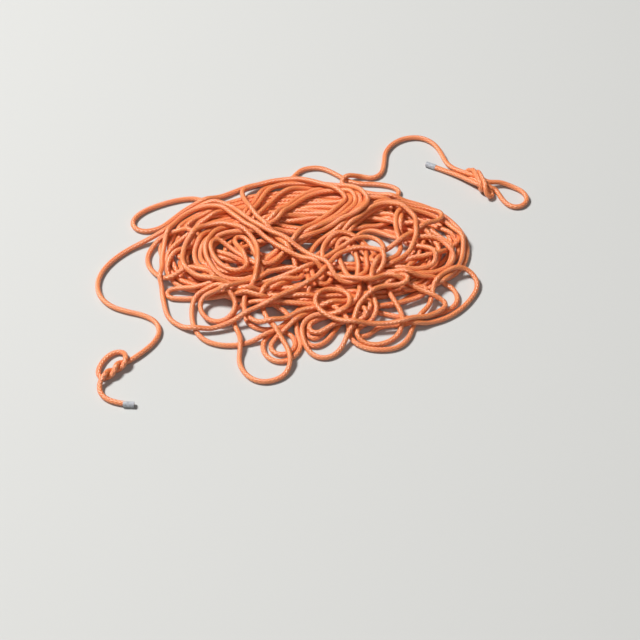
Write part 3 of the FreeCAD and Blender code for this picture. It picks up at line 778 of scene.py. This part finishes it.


# Real plaits are 1.5 mm wide. They are drawn 4.3 mm wide, or they would not show: six of
# each lean fit round the rope's 30.8 mm, and 3.9 in the same length along it. The dye comes
# out in patches about 17 mm long, and the fuzz of yarn ends is drawn about 1 mm coarse. A
# tone is how far a place goes towards the paler orange: the crests are paler as painted
# highlight and the furrows deeper as painted shade, while the dye patches vary at random
PLAITS_ROUND = 6.0
PLAITS_ALONG = 3.9
DYE_PATCHES_PER_METRE = 60.0
YARN_FUZZ_PER_METRE = 900.0
CREST_PAINTED_LIGHT = 0.75
DYE_TONE = 0.35
FUZZ_HEIGHT = 0.4


def braided_polyamide():
    """Dyed polyamide yarns braided two over, two under round the core, and coated against
    water, which gives a soft shine. The colour is a chequer of small raised plaits with painted
    shade, a deep orange, in the furrows and painted highlight, a paler orange, on the crests.
    A plait rises as the sine of a half turn across its width, and where two leans cross, the
    chequer says which one lies on top."""
    material, shader = new_material("braided_polyamide_sheath")
    uv = add(material, "ShaderNodeUVMap", {}, uv_map="around_and_along")
    split = add(material, "ShaderNodeSeparateXYZ", {0: uv})
    round_it = add(material, "ShaderNodeMath", {0: split.outputs[0], 1: PLAITS_ROUND},
                   operation="MULTIPLY")
    along_it = add(material, "ShaderNodeMath", {0: split.outputs[1], 1: PLAITS_ALONG},
                   operation="MULTIPLY")
    crests, counts = [], []
    for lean in ("ADD", "SUBTRACT"):
        across = add(material, "ShaderNodeMath", {0: round_it, 1: along_it}, operation=lean)
        part = add(material, "ShaderNodeMath", {0: across}, operation="FRACT")
        half_turn = add(material, "ShaderNodeMath", {0: part, 1: math.pi}, operation="MULTIPLY")
        crests.append(add(material, "ShaderNodeMath", {0: half_turn}, operation="SINE"))
        counts.append(add(material, "ShaderNodeMath", {0: across}, operation="FLOOR"))
    counted = add(material, "ShaderNodeMath", {0: counts[0], 1: counts[1]}, operation="ADD")
    check = add(material, "ShaderNodeMath", {0: counted, 1: 2.0}, operation="FLOORED_MODULO")
    crest = add(material, "ShaderNodeMix", {0: check, 2: crests[0], 3: crests[1]})
    place = add(material, "ShaderNodeTexCoord", {}).outputs["Object"]
    dye = add(material, "ShaderNodeTexNoise",
              {"Vector": place, "Scale": DYE_PATCHES_PER_METRE, "Detail": 3.0})
    fuzz = add(material, "ShaderNodeTexNoise",
               {"Vector": place, "Scale": YARN_FUZZ_PER_METRE, "Detail": 2.0})
    # Painted light: the crests are made paler as painted highlight, the furrows deeper orange as
    # painted shade
    pale = add(material, "ShaderNodeMath", {0: crest, 1: CREST_PAINTED_LIGHT}, operation="MULTIPLY")
    tone = add(material, "ShaderNodeMath", {0: dye, 1: DYE_TONE, 2: pale},
               operation="MULTIPLY_ADD")
    height = add(material, "ShaderNodeMath", {0: fuzz, 1: FUZZ_HEIGHT, 2: crest},
                 operation="MULTIPLY_ADD")
    bump = add(material, "ShaderNodeBump", {"Height": height, "Strength": 0.8, "Distance": 0.0009})
    # The ramp runs from the painted shade of the furrows to the painted highlight of the crests,
    # with the random dye patches mixed in
    dye_and_painted_light = add(material, "ShaderNodeValToRGB", {0: tone},
               tones=[(0.2, "#E23400"), (0.9, "#FFA45A")])
    give(shader, {
        "Base Color": dye_and_painted_light, "Normal": bump, "Coat Normal": bump, "Roughness": 0.42, "IOR": 1.53,
        "Specular IOR Level": 1.0, "Coat Weight": 0.7, "Coat Roughness": 0.42,
        "Sheen Weight": 0.1, "Sheen Roughness": 0.35, "Sheen Tint": linear("#FFB98C")})
    return material


def tip_plastic(name, low, high, roughness, grains_per_metre):
    """Smooth plastic at a rope's tip, shrunk on, printed or melted. Its colour wanders a
    little between two hex colours, and a faint unevenness breaks up its highlight."""
    material, shader = new_material(name)
    place = add(material, "ShaderNodeTexCoord", {}).outputs["Object"]
    noise = add(material, "ShaderNodeTexNoise",
                {"Vector": place, "Scale": grains_per_metre, "Detail": 3.0})
    bump = add(material, "ShaderNodeBump", {"Height": noise, "Strength": 0.3, "Distance": 0.0004})
    colour = add(material, "ShaderNodeValToRGB", {0: noise}, tones=[(0.3, low), (0.7, high)])
    give(shader, {"Base Color": colour, "Normal": bump, "Roughness": roughness})
    return material


def lamp(name, place, size, power):
    """A round soft lamp that shines on the rope's middle."""
    data = bpy.data.lights.new(name, "AREA")
    data.shape = "DISK"
    data.size = size
    data.energy = power
    light = bpy.data.objects.new(name, data)
    bpy.context.scene.collection.objects.link(light)
    x, y, z = place
    light.location = place
    light.rotation_euler = (math.atan2(math.hypot(x, y), z), 0, math.atan2(-y, -x) - math.pi / 2)


def make_room():
    """A plain pale floor under soft lamps, the strong one high on the left."""
    half = 12.0
    mesh = bpy.data.meshes.new("floor")
    mesh.from_pydata([(-half, -half, 0), (half, -half, 0), (half, half, 0), (-half, half, 0)],
                     [], [(0, 1, 2, 3)])
    floor = bpy.data.objects.new("floor", mesh)
    bpy.context.scene.collection.objects.link(floor)
    material, shader = new_material("pale_floor")
    give(shader, {"Base Color": linear("#C8C8C5"), "Roughness": 0.9})
    mesh.materials.append(material)
    lamp("key", place=(-4.9, 1.9, 8.0), size=2.2, power=1180)
    lamp("fill", place=(1.2, -4.4, 6.0), size=5.0, power=70)
    world = bpy.data.worlds.new("room")
    bpy.context.scene.world = world
    world.use_nodes = True
    give(world.node_tree.nodes["Background"], {"Color": (1, 1, 1, 1), "Strength": 0.1})


ROUTE_DETAIL = 6

# The rope, from its right tip through the pile to its left tip
make_camera()
route = np.vstack([np.array(right_end()[::-1]), settled_heap(), np.array(left_end())])
centreline = spline_points(route, ROUTE_DETAIL)
rope = tube("rope", centreline, ROPE_RADIUS)
rope.data.materials.append(braided_polyamide())
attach(rope, "root")
stretches = ("pile", "left_lead", "left_knot", "left_tail",
             "right_lead", "right_knot", "right_bight_loop", "right_tail")
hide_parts(*[stretch + "_sheath" for stretch in stretches],
            *[stretch + "_core" for stretch in stretches],
            "left_end_strands", "right_end_strands")
finishes = {
    # Heat-shrunk polyolefin: a pale, glossy grey that looks wet next to the braid
    "sleeve": tip_plastic("shrunk_polyolefin_sleeve", low="#9A9DA3", high="#C4C6CA",
                          roughness=0.25, grains_per_metre=300),
    # Polyester film under the sleeve: paler, with a duller shine
    "label": tip_plastic("printed_film_label", low="#B9BABC", high="#D4D5D6",
                         roughness=0.45, grains_per_metre=400),
    # Polyamide melted by a hot blade: the rope's orange, browned and hard
    "weld": tip_plastic("melted_polyamide_face", low="#A8481F", high="#D06A35",
                        roughness=0.35, grains_per_metre=900),
}
for end in ("left", "right"):
    for kind, material in finishes.items():
        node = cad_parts[f"{end}_end_{kind}"]
        node.data.materials.clear()
        node.data.materials.append(material)
make_room()
bpy.context.scene.view_settings.view_transform = "Standard"
